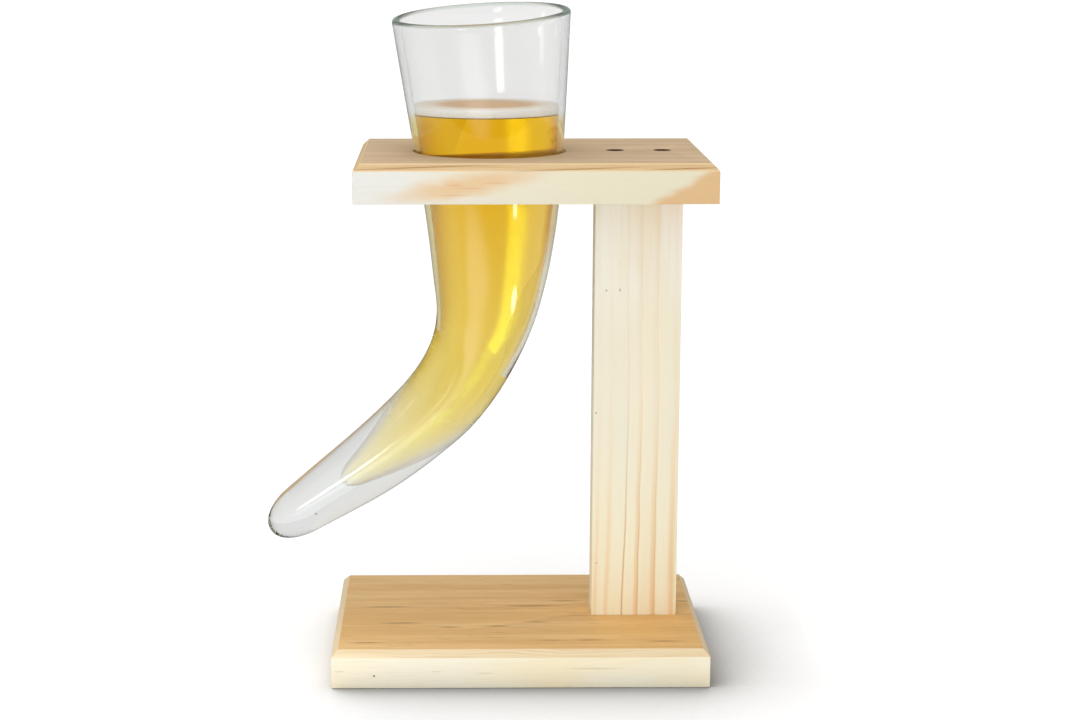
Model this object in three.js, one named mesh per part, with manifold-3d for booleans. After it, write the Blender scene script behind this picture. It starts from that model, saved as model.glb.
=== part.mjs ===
// A drinking horn of clear glass in its pine stand.
// A base board carries a flat post, the post carries a shelf, and the horn hangs through a round hole in
// the shelf: the cup above the shelf, the bent tail below it. Two screws hold each board to the post.
// Millimetres, +Z up. The origin is the centre of the base board's underside, and the horn's tail points
// along -X, away from the post. The front of the stand faces -Y.

import * as THREE from 'three';
import { mergeVertices } from 'three/addons/utils/BufferGeometryUtils.js';
import Module from 'manifold-3d';

// Driving dimensions of the boards
const baseLength = 180;
const baseDepth = 125;
const baseThickness = 18.5;
const shelfDepth = 118;
const shelfThickness = 18.5;
const edgeChamfer = 3.4;
const postWidth = 42;
const postThickness = 18.5;
const postInset = 11.5; // from the base's right-hand end to the post
const shelfOverhang = 11.5; // from the post to the shelf's right-hand end
const holeToPost = 14; // wood left between the glass hole and the post
const holeToEnd = 26.4; // wood left between the glass hole and the shelf's left-hand end
const tipAboveBase = 33.95; // height of the horn's lowest point over the base board

// Driving dimensions of the horn: outer radii, and the steps between them along its centreline
const rimRadius = 42.3;
const rimToSeat = 64; // the seat is where the cup meets the shelf's top face
const seatRadius = 35.7;
const seatToThroat = 55;
const throatRadius = 28.8;
const throatToBend = 43;
const bendRadius = 21.7;
const bendToElbow = 40;
const elbowRadius = 19.4;
const elbowToTail = 43;
const tailRadius = 16.9;
const tailToTip = 40;
const tipRadius = 12.9;
const tipLength = 20;

// Thickness of the glass, and the solid end of the tail
const lipHeight = 1.6; // of the rounded lip over the rim
const rimWall = 3.6;
const seatWall = 3;
const throatWall = 2.4;
const bendWall = 2.1;
const elbowWall = 5.8;
const tailWall = 11.3;
const cavityEndLength = 14; // from the tail's wall to the end of the hollow

// The horn's curve: a straight neck, an easy turn, the main bend, and an easy turn into the straight tail
const neckLength = 7;
const throatTurn = 8.4; // degrees
const throatTurnRadius = 433;
const mainTurn = 40.5; // degrees
const mainTurnRadius = 98;
const tailTurn = 9.5; // degrees
const tailTurnRadius = 308;

// How the horn leans in its loose hole, in degrees
const leanLeft = 3.5;
const leanForward = 4.4;
const seatClearance = 0.5;

// Screws and the holes that they sit in
const screwSpacing = 22.6;
const screwHeadRadius = 3.6;
const screwHeadHeight = 2.4;
const screwShankRadius = 2;
const screwPointLength = 6;
const screwBite = 26; // length of the screw inside the post
const recessClearance = 0.5; // round a screw's head
const shelfRecess = 9; // depth of the screw recesses in the shelf's top face
const baseRecess = 7; // depth of the screw recesses in the base's underside
const fitGap = 0.3; // between pieces that fit into each other

// Fineness of the round forms
const hornSides = 40;
const holeSides = 72;
const screwSides = 20;
const outerSteps = 36;
const innerSteps = 32;
const endSteps = 7;
const lipSteps = 6;
const overcut = 5; // how far a cutting solid reaches past the wood

const wasm = await Module();
wasm.setup();

// Shared helpers

const weldDistance = 1e-4;
const toRadians = THREE.MathUtils.degToRad;

// A closed solid from a geometry, with its shared corners welded and its collapsed triangles left out
function solidOf(geometry) {
  const bare = geometry.clone();
  bare.deleteAttribute('normal');
  bare.deleteAttribute('uv');
  const welded = mergeVertices(bare, weldDistance);
  const index = welded.index.array;
  const triangles = [];
  for (let i = 0; i < index.length; i += 3) {
    const [a, b, c] = [index[i], index[i + 1], index[i + 2]];
    if (a !== b && b !== c && c !== a) {
      triangles.push(a, b, c);
    }
  }
  const mesh = new wasm.Mesh({
    numProp: 3,
    vertProperties: new Float32Array(welded.attributes.position.array),
    triVerts: new Uint32Array(triangles),
  });
  return new wasm.Manifold(mesh);
}

// A flat-shaded geometry from a solid
function geometryOf(solid) {
  const mesh = solid.getMesh();
  const geometry = new THREE.BufferGeometry();
  geometry.setAttribute('position', new THREE.BufferAttribute(new Float32Array(mesh.vertProperties), 3));
  geometry.setIndex(new THREE.BufferAttribute(new Uint32Array(mesh.triVerts), 1));
  const flat = geometry.toNonIndexed();
  flat.computeVertexNormals();
  return flat;
}

function namedMesh(name, geometry, color, roughness, metalness) {
  const material = new THREE.MeshStandardMaterial({ color, roughness, metalness });
  const mesh = new THREE.Mesh(geometry, material);
  mesh.name = name;
  return mesh;
}

// A round bar along Z between two heights, used to bore holes
function roundBar(radius, x, bottom, top, sides) {
  const bar = new THREE.CylinderGeometry(radius, radius, top - bottom, sides);
  bar.rotateX(Math.PI / 2);
  bar.translate(x, 0, (bottom + top) / 2);
  return solidOf(bar);
}

// Horn: a turned profile, then bent along its centreline

// Stations of the horn, by their distance below the seat
const rimStation = -rimToSeat;
const throatStation = seatToThroat;
const bendStation = throatStation + throatToBend;
const elbowStation = bendStation + bendToElbow;
const tailStation = elbowStation + elbowToTail;
const tipStation = tailStation + tailToTip;

// Runs of the centreline from the seat down: length and curvature of each, the last one open-ended
const runs = [
  { length: neckLength, curvature: 0 },
  { length: throatTurnRadius * toRadians(throatTurn), curvature: 1 / throatTurnRadius },
  { length: mainTurnRadius * toRadians(mainTurn), curvature: 1 / mainTurnRadius },
  { length: tailTurnRadius * toRadians(tailTurn), curvature: 1 / tailTurnRadius },
  { length: Infinity, curvature: 0 },
];

// Place and heading of the centreline at a distance below the seat. The heading is 0 straight down and
// grows as the horn turns towards -X.
function centrelineAt(distance) {
  const place = { x: 0, z: 0, heading: 0 };
  if (distance <= 0) {
    place.z = -distance;
    return place;
  }
  let left = distance;
  for (const run of runs) {
    const step = Math.min(left, run.length);
    const turned = place.heading + step * run.curvature;
    if (run.curvature === 0) {
      place.x -= step * Math.sin(place.heading);
      place.z -= step * Math.cos(place.heading);
    } else {
      place.x += (Math.cos(turned) - Math.cos(place.heading)) / run.curvature;
      place.z -= (Math.sin(turned) - Math.sin(place.heading)) / run.curvature;
    }
    place.heading = turned;
    left -= step;
    if (left <= 0) {
      break;
    }
  }
  return place;
}

// A point of the turned profile: radius, and height over the seat
function station(radius, distanceBelowSeat) {
  return new THREE.Vector2(radius, -distanceBelowSeat);
}

// A rounded end that carries on the slope between two profile points and closes on the axis
function roundedEnd(before, last, length) {
  const fullness = 0.55;
  const slope = last.clone().sub(before).normalize();
  const apexHeight = last.y - length;
  const leaving = last.clone().addScaledVector(slope, length * fullness);
  const arriving = new THREE.Vector2(last.x * fullness, apexHeight);
  return new THREE.CubicBezierCurve(last, leaving, arriving, new THREE.Vector2(0, apexHeight));
}

// The closed half-section of the horn, from the tip up the outside, over the lip and down the hollow
function hornProfile() {
  const tail = station(tailRadius, tailStation);
  const tip = station(tipRadius, tipStation);
  const outer = new THREE.SplineCurve([
    station(rimRadius, rimStation),
    station(seatRadius, 0),
    station(throatRadius, throatStation),
    station(bendRadius, bendStation),
    station(elbowRadius, elbowStation),
    tail,
    tip,
  ]);
  const elbowHollow = station(elbowRadius - elbowWall, elbowStation);
  const tailHollow = station(tailRadius - tailWall, tailStation);
  const inner = new THREE.SplineCurve([
    station(rimRadius - rimWall, rimStation),
    station(seatRadius - seatWall, 0),
    station(throatRadius - throatWall, throatStation),
    station(bendRadius - bendWall, bendStation),
    elbowHollow,
    tailHollow,
  ]);
  const lip = new THREE.EllipseCurve(rimRadius - rimWall / 2, rimToSeat, rimWall / 2, lipHeight, 0, Math.PI);
  const outside = outer.getPoints(outerSteps).reverse();
  const tipEnd = roundedEnd(tail, tip, tipLength).getPoints(endSteps).reverse();
  const hollowEnd = roundedEnd(elbowHollow, tailHollow, cavityEndLength).getPoints(endSteps);
  return [
    ...tipEnd.slice(0, -1),
    ...outside,
    ...lip.getPoints(lipSteps).slice(1, -1),
    ...inner.getPoints(innerSteps),
    ...hollowEnd.slice(1),
  ];
}

function hornGeometry() {
  const turned = new THREE.LatheGeometry(hornProfile(), hornSides);
  turned.rotateX(Math.PI / 2);
  const position = turned.attributes.position;
  for (let i = 0; i < position.count; i += 1) {
    const across = position.getX(i);
    const place = centrelineAt(-position.getZ(i));
    const x = place.x + across * Math.cos(place.heading);
    const z = place.z - across * Math.sin(place.heading);
    position.setXYZ(i, x, position.getY(i), z);
  }
  return geometryOf(solidOf(turned));
}

const horn = namedMesh('horn_glass', hornGeometry(), 0xe9f0ee, 0.05, 0);
const hornSeat = new THREE.Group();
hornSeat.rotation.set(toRadians(leanForward), -toRadians(leanLeft), 0);
hornSeat.add(horn);

// Places that follow from the sizes

// The leaning cup meets the shelf's top face in an ellipse, whose longer reach sets the hole
const cupTaper = (rimRadius - seatRadius) / rimToSeat;
const leanCosine = Math.cos(toRadians(leanLeft)) * Math.cos(toRadians(leanForward));
const leanSine = Math.sqrt(1 - leanCosine * leanCosine);
const holeRadius = seatRadius / (leanCosine - cupTaper * leanSine) + seatClearance;

const postRight = baseLength / 2 - postInset;
const postX = postRight - postWidth / 2;
const holeX = postRight - postWidth - holeToPost - holeRadius;
const shelfRight = postRight + shelfOverhang;
const shelfLeft = holeX - holeRadius - holeToEnd;
const shelfLength = shelfRight - shelfLeft;
const shelfX = (shelfLeft + shelfRight) / 2;

// The post is as tall as keeps the tail clear of the base board
const hornDrop = -new THREE.Box3().setFromObject(hornSeat, true).min.z;
const postHeight = hornDrop - shelfThickness + tipAboveBase;
const shelfUnderside = baseThickness + postHeight;
const shelfTop = shelfUnderside + shelfThickness;
hornSeat.position.set(holeX, 0, shelfTop);

const recessRadius = screwHeadRadius + recessClearance;
const shankHoleRadius = screwShankRadius + fitGap;
const screwPlaces = { left: postX - screwSpacing / 2, right: postX + screwSpacing / 2 };

// Boards

// A board lying on Z = 0 with a chamfer round its top edges
function chamferedBoard(length, depth, thickness) {
  const sideProfile = (width) => {
    const half = width / 2;
    const shoulder = thickness - edgeChamfer;
    const shape = new THREE.Shape();
    shape.moveTo(-half, 0);
    shape.lineTo(half, 0);
    shape.lineTo(half, shoulder);
    shape.lineTo(half - edgeChamfer, thickness);
    shape.lineTo(-half + edgeChamfer, thickness);
    shape.lineTo(-half, shoulder);
    shape.closePath();
    return shape;
  };
  const planed = (width, run) => {
    const bar = new THREE.ExtrudeGeometry(sideProfile(width), { depth: run + 2 * overcut, bevelEnabled: false });
    bar.rotateX(Math.PI / 2);
    bar.translate(0, run / 2 + overcut, 0);
    return bar;
  };
  const lengthways = planed(depth, length).rotateZ(Math.PI / 2);
  const crossways = planed(length, depth);
  return solidOf(lengthways).intersect(solidOf(crossways));
}

function basePlate() {
  let board = chamferedBoard(baseLength, baseDepth, baseThickness);
  for (const x of Object.values(screwPlaces)) {
    board = board.subtract(roundBar(recessRadius, x, -overcut, baseRecess, screwSides));
    board = board.subtract(roundBar(shankHoleRadius, x, -overcut, baseThickness + overcut, screwSides));
  }
  return namedMesh('base_plate', geometryOf(board), 0xe3c795, 0.7, 0);
}

function shelfPlate() {
  let board = chamferedBoard(shelfLength, shelfDepth, shelfThickness);
  const recessFloor = shelfThickness - shelfRecess;
  const through = shelfThickness + overcut;
  board = board.subtract(roundBar(holeRadius, holeX - shelfX, -overcut, through, holeSides));
  for (const x of Object.values(screwPlaces)) {
    board = board.subtract(roundBar(recessRadius, x - shelfX, recessFloor, through, screwSides));
    board = board.subtract(roundBar(shankHoleRadius, x - shelfX, -overcut, through, screwSides));
  }
  const mesh = namedMesh('shelf_plate', geometryOf(board), 0xe2c9a0, 0.7, 0);
  mesh.position.set(shelfX, 0, shelfUnderside);
  return mesh;
}

function post() {
  const bar = new THREE.BoxGeometry(postWidth, postThickness, postHeight);
  bar.translate(0, 0, postHeight / 2);
  let board = solidOf(bar);
  const holeDepth = screwBite + fitGap;
  for (const x of Object.values(screwPlaces)) {
    board = board.subtract(roundBar(shankHoleRadius, x - postX, -overcut, holeDepth, screwSides));
    board = board.subtract(
      roundBar(shankHoleRadius, x - postX, postHeight - holeDepth, postHeight + overcut, screwSides),
    );
  }
  const mesh = namedMesh('post', geometryOf(board), 0xecd9b2, 0.7, 0);
  mesh.position.set(postX, 0, baseThickness);
  return mesh;
}

// Screws

// A pan-headed wood screw pointing down, its head's underside at Z = 0
function screwGeometry(gripLength) {
  const reach = gripLength + screwBite;
  const headShoulder = screwHeadHeight / 2;
  const crown = new THREE.EllipseCurve(
    0, headShoulder, screwHeadRadius, screwHeadHeight - headShoulder, 0, Math.PI / 2,
  );
  const profile = [
    new THREE.Vector2(0, -reach),
    new THREE.Vector2(screwShankRadius, -reach + screwPointLength),
    new THREE.Vector2(screwShankRadius, 0),
    new THREE.Vector2(screwHeadRadius, 0),
    ...crown.getPoints(endSteps),
  ];
  const turned = new THREE.LatheGeometry(profile, screwSides);
  turned.rotateX(Math.PI / 2);
  return geometryOf(solidOf(turned));
}

// The head stands a fit gap off its recess floor, so the grip is the wood under the head and that gap
function shelfScrew(side) {
  const grip = shelfThickness - shelfRecess + fitGap;
  const mesh = namedMesh(`shelf_screw_${side}`, screwGeometry(grip), 0x5b4a38, 0.45, 0.8);
  mesh.position.set(screwPlaces[side], 0, shelfUnderside + grip);
  return mesh;
}

function baseScrew(side) {
  const grip = baseThickness - baseRecess + fitGap;
  const mesh = namedMesh(`base_screw_${side}`, screwGeometry(grip), 0x8d8470, 0.45, 0.8);
  mesh.position.set(screwPlaces[side], 0, baseThickness - grip);
  mesh.rotation.x = Math.PI;
  return mesh;
}

// Assembly

const stand = new THREE.Group();
stand.add(basePlate(), post(), shelfPlate());
for (const side of Object.keys(screwPlaces)) {
  stand.add(shelfScrew(side), baseScrew(side));
}

const hornOnStand = new THREE.Group();
hornOnStand.add(stand, hornSeat);

export default hornOnStand;
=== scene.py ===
"""A drinking horn of clear glass, filled with beer, in its pine stand.

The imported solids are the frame. The boards, the screws and the horn are modelled again with finer edges, and
the beer and its foam are added inside the horn. Lengths are in millimetres and become metres where a mesh is
made. The stage is laid out in metres.
"""

import math

import bmesh
import bpy
from mathutils import Euler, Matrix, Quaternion, Vector


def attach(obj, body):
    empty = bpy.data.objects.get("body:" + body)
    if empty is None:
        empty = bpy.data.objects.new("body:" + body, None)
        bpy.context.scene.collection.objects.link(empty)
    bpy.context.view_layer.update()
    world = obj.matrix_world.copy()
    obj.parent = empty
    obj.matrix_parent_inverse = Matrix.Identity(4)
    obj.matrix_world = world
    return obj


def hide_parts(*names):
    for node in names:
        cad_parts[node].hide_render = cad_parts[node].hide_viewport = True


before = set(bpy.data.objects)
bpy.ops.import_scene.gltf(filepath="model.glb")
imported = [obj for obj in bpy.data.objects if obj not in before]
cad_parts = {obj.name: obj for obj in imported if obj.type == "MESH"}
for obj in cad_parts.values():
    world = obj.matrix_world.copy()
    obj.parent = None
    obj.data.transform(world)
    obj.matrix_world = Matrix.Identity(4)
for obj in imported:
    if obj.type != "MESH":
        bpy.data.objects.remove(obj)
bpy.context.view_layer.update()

MM = 0.001

# Boards
BASE_LOW = Vector((-90, -62.5, 0))
BASE_HIGH = Vector((90, 62.5, 18.5))
SHELF_LOW = Vector((-77.38, -59, 230.5))
SHELF_HIGH = Vector((90, 59, 249))
POST_LOW = Vector((36.5, -9.25, 18.5))
POST_HIGH = Vector((78.5, 9.25, 230.5))
EDGE_CHAMFER = 3.4
EDGE_SOFTNESS = 0.35
SHARP_ANGLE = 30
HOLE_X = -14.24
HOLE_RADIUS = 36.74
HOLE_SIDES = 96
PAST_FACE = 5

# Screws
SCREW_XS = (46.2, 68.8)
RECESS_RADIUS = 4.1
RECESS_SIDES = 32
SHELF_RECESS = 9
BASE_RECESS = 7
SHANK_HOLE_RADIUS = 2.3
SHANK_HOLE_SIDES = 24
SHANK_HOLE_DEPTH = 26.3
SCREW_BITE = 26
HEAD_RADIUS = 3.6
HEAD_HEIGHT = 2.4
HEAD_DOME = ((1, 0.5), (0.94, 0.68), (0.8, 0.84), (0.55, 0.95), (0.2, 1))
SLOT_LENGTH = HEAD_RADIUS * 1.1
SLOT_WIDTH = 0.8
SLOT_HEIGHT = 2.2
SHANK_RADIUS = 2
POINT_LENGTH = 6
POINT_RADIUS = 0.15
SCREW_SIDES = 32
SCREW_SHARP_ANGLE = 35
FIT_GAP = 0.3

# Horn: outer radius and wall at each station below the seat
STATIONS = (-64, 0, 55, 98, 138, 181, 221)
OUTER_RADII = (42.3, 35.7, 28.8, 21.7, 19.4, 16.9, 12.9)
WALLS = (3.6, 3, 2.4, 2.1, 5.8, 11.3)
TIP_LENGTH = 20
HOLLOW_END_LENGTH = 14
LIP_HEIGHT = 1.6
NECK_LENGTH = 7
TURNS = ((math.radians(8.4), 433), (math.radians(40.5), 98), (math.radians(9.5), 308))
LEAN_LEFT = math.radians(3.5)
LEAN_FORWARD = math.radians(4.4)
LEAN = Euler((LEAN_FORWARD, -LEAN_LEFT, 0), "ZYX")
SEAT = Vector((HOLE_X, 0, SHELF_HIGH.z))
HORN_SIDES = 144
OUTER_STEPS = 96
HOLLOW_STEPS = 84
END_STEPS = 16
END_FULLNESS = 0.55
LIP_STEPS = 10

# Drink: the film of air beside it, where that ends in the bend, its reach into the glass beyond, its levels
DRINK_STAND_OFF = 0.25
DRINK_OVERLAP = 0.15
FILM_NARROWS_FROM = 96
FILM_NARROWING = 0.145
INNER_FILM_END = (89, 99)
FRONT_FILM_END = (92, 102)
OUTER_FILM_END = (103, 111)
DRINK_TOP = -34
BEER_LEVEL = 267.3
FOAM_LEVEL = 271.7
FOAM_GAP = 0.1
FOAM_SOFTNESS = 0.5
DRINK_SHARP_ANGLE = 40


# Modelling helpers

def put_down_everything():
    """Object mode with nothing selected."""
    if bpy.context.object and bpy.context.object.mode != "OBJECT":
        bpy.ops.object.mode_set(mode="OBJECT")
    bpy.ops.object.select_all(action="DESELECT")


def pick_up(piece):
    """Only this piece selected and active."""
    put_down_everything()
    piece.select_set(True)
    bpy.context.view_layer.objects.active = piece


def work_on(piece, mode):
    """Edit mode on one piece, with nothing selected in it."""
    pick_up(piece)
    bpy.ops.object.mode_set(mode="EDIT")
    bpy.ops.mesh.select_mode(type=mode)
    bpy.ops.mesh.select_all(action="DESELECT")
    return bmesh.from_edit_mesh(piece.data)


def settle(piece):
    """The piece's place goes into its mesh."""
    pick_up(piece)
    bpy.ops.object.transform_apply(location=True, rotation=True, scale=True)


def apply_modifier(piece, name, kind, **settings):
    pick_up(piece)
    modifier = piece.modifiers.new(name, kind)
    for key, value in settings.items():
        setattr(modifier, key, value)
    bpy.ops.object.modifier_apply(modifier=name)


def smooth_under(piece, angle):
    """Smooth shading over all edges but the sharp ones."""
    pick_up(piece)
    bpy.ops.object.shade_smooth_by_angle(angle=math.radians(angle))


def soften_edges(piece, width, angle):
    """A small round on the sharp edges, and smooth shading elsewhere."""
    apply_modifier(
        piece, "softened", "BEVEL",
        width=width * MM, segments=2, limit_method="ANGLE", angle_limit=math.radians(angle),
    )
    smooth_under(piece, angle)


def cut_away(piece, cutter):
    """Cuts one solid out of another and removes the cutter."""
    apply_modifier(piece, "cut", "BOOLEAN", operation="DIFFERENCE", solver="EXACT", object=cutter)
    bpy.data.objects.remove(cutter, do_unlink=True)


def bore(piece, x, bottom, top, radius, sides):
    """A round upright hole at y = 0."""
    put_down_everything()
    bpy.ops.mesh.primitive_cylinder_add(
        vertices=sides, radius=radius * MM, depth=(top - bottom) * MM,
        location=Vector((x, 0, (bottom + top) / 2)) * MM,
    )
    cut_away(piece, bpy.context.object)


def draw_out_rings(name, rings, sides):
    """A closed form, drawn out from a round disc through rings of (centre, heading, width, depth).

    Width and depth are the radii in the horn's own plane and along Y.
    """
    put_down_everything()
    centre, heading, radius, _ = rings[0]
    bpy.ops.mesh.primitive_circle_add(
        vertices=sides, radius=radius * MM, fill_type="TRIFAN",
        location=centre * MM, rotation=(0, heading, 0),
    )
    piece = bpy.context.object
    piece.name = name
    piece.data.name = name
    settle(piece)
    work_on(piece, "FACE")
    bpy.ops.mesh.select_all(action="SELECT")
    for before, after in zip(rings, rings[1:]):
        from_centre, from_heading, from_width, from_depth = before
        to_centre, to_heading, to_width, to_depth = after
        step = (to_centre - from_centre) * MM
        pivot = to_centre * MM
        wider = to_width / from_width
        deeper = to_depth / from_depth
        bpy.ops.mesh.extrude_region_move(TRANSFORM_OT_translate={"value": step})
        if abs(to_heading - from_heading) > 1e-6:
            turn = from_heading - to_heading
            bpy.ops.transform.rotate(value=turn, orient_axis="Y", orient_type="GLOBAL", center_override=pivot)
        bpy.ops.transform.resize(value=(wider, deeper, wider), center_override=pivot)
    bpy.ops.mesh.select_all(action="SELECT")
    bpy.ops.mesh.normals_make_consistent(inside=False)
    put_down_everything()
    return piece


def finish_piece(piece, body, material, slot, *nodes):
    """Gives a piece its finish and the body it rides on, and hides the solids that it stands for."""
    piece.data.materials.clear()
    piece.data.materials.append(material)
    if nodes:
        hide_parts(*nodes)
    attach(piece, body)


# Boards

def planed_board(name, low, high):
    """A plain board at its place."""
    put_down_everything()
    bpy.ops.mesh.primitive_cube_add(size=1, location=(low + high) / 2 * MM, scale=(high - low) * MM)
    board = bpy.context.object
    board.name = name
    board.data.name = name
    settle(board)
    return board


def chamfer_top(board, top):
    """The chamfer round a board's top edges."""
    mesh = work_on(board, "EDGE")
    for edge in mesh.edges:
        edge.select = all(abs(corner.co.z - top * MM) < 1e-6 for corner in edge.verts)
    bmesh.update_edit_mesh(board.data)
    bpy.ops.mesh.bevel(offset=EDGE_CHAMFER * MM, offset_type="OFFSET", segments=1, affect="EDGES")
    put_down_everything()


def make_base_board():
    board = planed_board("base_board", BASE_LOW, BASE_HIGH)
    chamfer_top(board, BASE_HIGH.z)
    for x in SCREW_XS:
        bore(board, x, -PAST_FACE, BASE_RECESS, RECESS_RADIUS, RECESS_SIDES)
        bore(board, x, -PAST_FACE, BASE_HIGH.z + PAST_FACE, SHANK_HOLE_RADIUS, SHANK_HOLE_SIDES)
    soften_edges(board, EDGE_SOFTNESS, SHARP_ANGLE)
    return board


def make_shelf_board():
    board = planed_board("shelf_board", SHELF_LOW, SHELF_HIGH)
    chamfer_top(board, SHELF_HIGH.z)
    below = SHELF_LOW.z - PAST_FACE
    above = SHELF_HIGH.z + PAST_FACE
    bore(board, HOLE_X, below, above, HOLE_RADIUS, HOLE_SIDES)
    for x in SCREW_XS:
        bore(board, x, SHELF_HIGH.z - SHELF_RECESS, above, RECESS_RADIUS, RECESS_SIDES)
        bore(board, x, below, above, SHANK_HOLE_RADIUS, SHANK_HOLE_SIDES)
    soften_edges(board, EDGE_SOFTNESS, SHARP_ANGLE)
    return board


def make_post_board():
    board = planed_board("post_board", POST_LOW, POST_HIGH)
    foot = POST_LOW.z
    head = POST_HIGH.z
    for x in SCREW_XS:
        bore(board, x, foot - PAST_FACE, foot + SHANK_HOLE_DEPTH, SHANK_HOLE_RADIUS, SHANK_HOLE_SIDES)
        bore(board, x, head - SHANK_HOLE_DEPTH, head + PAST_FACE, SHANK_HOLE_RADIUS, SHANK_HOLE_SIDES)
    soften_edges(board, EDGE_SOFTNESS, SHARP_ANGLE)
    return board


# Screws

def make_screw(name, grip):
    """A pan-headed wood screw pointing down, its head's underside at height 0, with a cross recess."""
    reach = grip + SCREW_BITE
    profile = [
        (POINT_RADIUS, -reach),
        (SHANK_RADIUS, -reach + POINT_LENGTH),
        (SHANK_RADIUS, 0),
        (HEAD_RADIUS - 0.1, 0),
        (HEAD_RADIUS, 0.2),
    ]
    for across, up in HEAD_DOME:
        profile.append((HEAD_RADIUS * across, HEAD_HEIGHT * up))
    rings = [(Vector((0, 0, height)), 0, radius, radius) for radius, height in profile]
    screw = draw_out_rings(name, rings, SCREW_SIDES)
    for turn in (0, math.pi / 2):
        put_down_everything()
        bpy.ops.mesh.primitive_cube_add(
            size=1, location=(0, 0, HEAD_HEIGHT * MM), rotation=(0, 0, turn),
            scale=(SLOT_LENGTH * MM, SLOT_WIDTH * MM, SLOT_HEIGHT * MM),
        )
        bit = bpy.context.object
        settle(bit)
        cut_away(screw, bit)
    smooth_under(screw, SCREW_SHARP_ANGLE)
    return screw


def set_screw(screw, x, height, upside_down):
    screw.location = Vector((x, 0, height)) * MM
    if upside_down:
        screw.rotation_euler = (math.pi, 0, 0)
    settle(screw)


def copy_piece(piece, name):
    """A copy with its own mesh."""
    pick_up(piece)
    bpy.ops.object.duplicate(linked=False)
    twin = bpy.context.object
    twin.name = name
    twin.data.name = name
    return twin


# Horn

def smooth_through(points, steps):
    """Points on the smooth curve through the given (radius, distance) points, evenly stepped between them."""
    curve = []
    last = len(points) - 1
    for step in range(steps + 1):
        along = step / steps * last
        index = min(int(along), last - 1)
        share = along - index
        before = points[max(index - 1, 0)]
        start = points[index]
        end = points[index + 1]
        after = points[min(index + 2, last)]
        place = []
        for earlier, here, there, later in zip(before, start, end, after):
            leaving = (there - earlier) / 2
            arriving = (later - here) / 2
            cubic = (2 * here - 2 * there + leaving + arriving) * share ** 3
            square = (-3 * here + 3 * there - 2 * leaving - arriving) * share ** 2
            place.append(cubic + square + leaving * share + here)
        curve.append(tuple(place))
    return curve


def rounded_end(before, last, length):
    """Points of a rounded end that carries on the slope between two points and nearly closes on the axis."""
    slope = (Vector(last) - Vector(before)).normalized()
    apex = last[1] + length
    start = Vector(last)
    start_pull = start + slope * length * END_FULLNESS
    tip_pull = Vector((last[0] * END_FULLNESS, apex))
    tip = Vector((0, apex))
    points = []
    for step in range(1, END_STEPS):
        share = step / END_STEPS
        rest = 1 - share
        place = (
            start * rest ** 3
            + start_pull * 3 * rest * rest * share
            + tip_pull * 3 * rest * share * share
            + tip * share ** 3
        )
        points.append((place.x, place.y))
    return points


def outer_stations():
    points = list(zip(OUTER_RADII, STATIONS))
    return smooth_through(points, OUTER_STEPS) + rounded_end(points[-2], points[-1], TIP_LENGTH)


def hollow_stations():
    points = [(outer - wall, place) for outer, wall, place in zip(OUTER_RADII, WALLS, STATIONS)]
    return smooth_through(points, HOLLOW_STEPS) + rounded_end(points[-2], points[-1], HOLLOW_END_LENGTH)


def centreline_at(distance):
    """Place and heading of the horn's centreline at a distance below the seat, the seat at the origin."""
    if distance <= 0:
        return Vector((0, 0, -distance)), 0
    x = 0
    z = -min(distance, NECK_LENGTH)
    heading = 0
    left = distance - NECK_LENGTH
    for turn, radius in TURNS:
        if left <= 0:
            break
        turned = heading + min(left / radius, turn)
        x += (math.cos(turned) - math.cos(heading)) * radius
        z -= (math.sin(turned) - math.sin(heading)) * radius
        left -= turn * radius
        heading = turned
    if left > 0:
        x -= left * math.sin(heading)
        z -= left * math.cos(heading)
    return Vector((x, 0, z)), heading


def rings_of(stations):
    rings = []
    for radius, distance in stations:
        centre, heading = centreline_at(distance)
        rings.append((centre, heading, radius, radius))
    return rings


def seat_in_hole(piece):
    """Leans a form of the horn as it hangs in the shelf's hole."""
    piece.rotation_mode = "ZYX"
    piece.rotation_euler = LEAN
    piece.location = SEAT * MM
    settle(piece)
    piece.rotation_mode = "XYZ"


def make_horn():
    lip = []
    half_wall = WALLS[0] / 2
    for step in range(1, LIP_STEPS):
        angle = math.pi * step / LIP_STEPS
        radius = OUTER_RADII[0] - half_wall + half_wall * math.cos(angle)
        lip.append((radius, STATIONS[0] - LIP_HEIGHT * math.sin(angle)))
    stations = outer_stations()[::-1] + lip + hollow_stations()
    horn = draw_out_rings("glass_horn", rings_of(stations), HORN_SIDES)
    seat_in_hole(horn)
    pick_up(horn)
    bpy.ops.object.shade_smooth()
    return horn


# Drink

def film_at(distance, film, film_end):
    """How far the drink reaches past the hollow's wall. It is less than 0 where a film of air is left."""
    start, end = film_end
    share = min(max((distance - start) / (end - start), 0), 1)
    return -film + (film + DRINK_OVERLAP) * share


def drink_column(name):
    """The horn's hollow as a solid from its end to well over the drink.

    In cup and throat it stands off the glass by a film, which keeps the clear wall in sight beside it. In the
    bend the film ends, on the inner side first and on the outer side last. From there on the drink reaches a
    little into the glass, so that no air shows between the two.
    """
    rings = []
    for radius, distance in hollow_stations()[::-1]:
        if distance <= DRINK_TOP:
            continue
        centre, heading = centreline_at(distance)
        narrow_film = DRINK_STAND_OFF * math.exp(-FILM_NARROWING * max(distance - FILM_NARROWS_FROM, 0))
        outer_side = film_at(distance, narrow_film, OUTER_FILM_END)
        inner_side = film_at(distance, DRINK_STAND_OFF, INNER_FILM_END)
        front = film_at(distance, DRINK_STAND_OFF, FRONT_FILM_END)
        inward = Vector((-math.cos(heading), 0, math.sin(heading)))
        centre = centre + inward * (inner_side - outer_side) / 2
        width = radius + (inner_side + outer_side) / 2
        rings.append((centre, heading, width, radius + front))
    column = draw_out_rings(name, rings, HORN_SIDES)
    seat_in_hole(column)
    return column


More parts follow.
